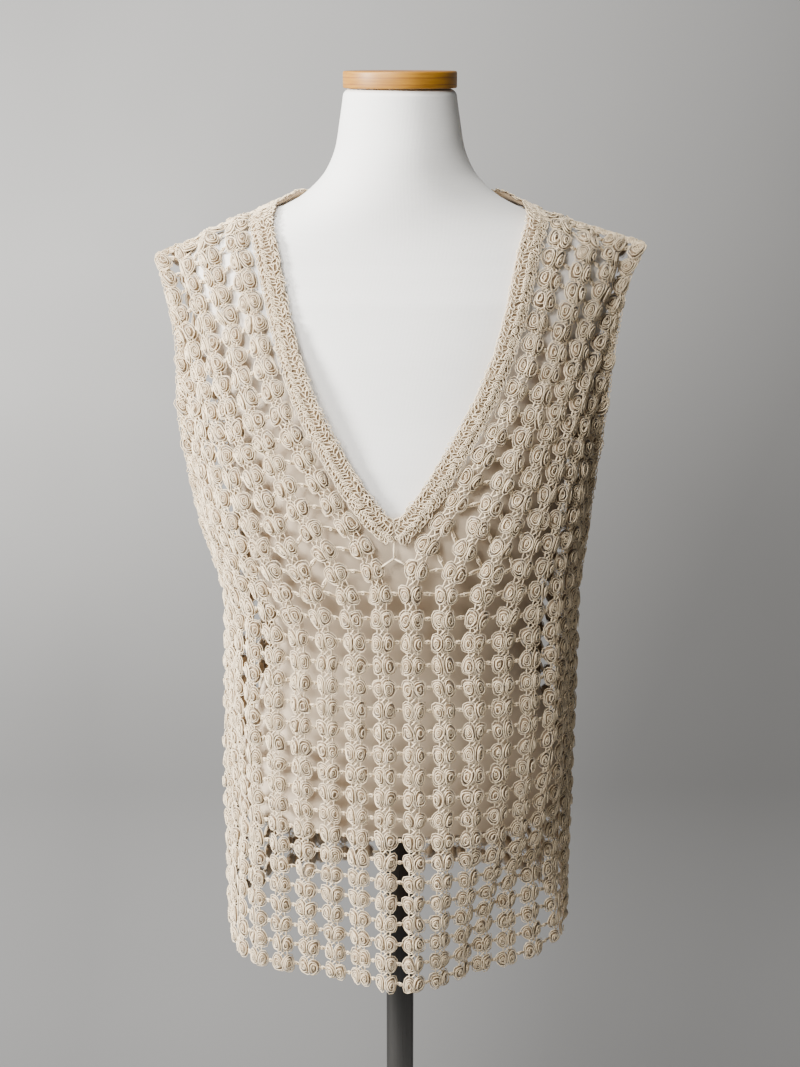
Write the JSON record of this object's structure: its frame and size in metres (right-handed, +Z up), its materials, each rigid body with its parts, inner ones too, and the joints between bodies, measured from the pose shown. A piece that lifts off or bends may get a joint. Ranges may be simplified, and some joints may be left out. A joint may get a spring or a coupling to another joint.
{
  "type": "sleeveless crochet v-neck vest on a limbless dress form with stand",
  "caption": "Long loose sleeveless V-neck vest of openwork crochet, cream, worn by a linen dress form on a steel pole and round base.",
  "frame": {"origin": "on the floor under the middle of the round base", "axes": "+Z up, -Y towards the front of the vest, +X to the right seen from the front"},
  "size_m": [0.424, 0.33, 1.48],
  "materials": {
    "yarn": "matt twisted yarn, cream",
    "linen": "matt off-white woven linen over the form",
    "wood": "satin varnish",
    "steel": "brushed",
    "plate": "brushed"
  },
  "bodies": {
    "root": {"vest_front": "yarn", "vest_back": "yarn", "neckband": "yarn", "dress_form": "linen", "neck_cap": "wood", "pole_flange": "steel", "pole": "steel", "base_collar": "steel", "base_plate": "plate"}
  },
  "joints": []
}
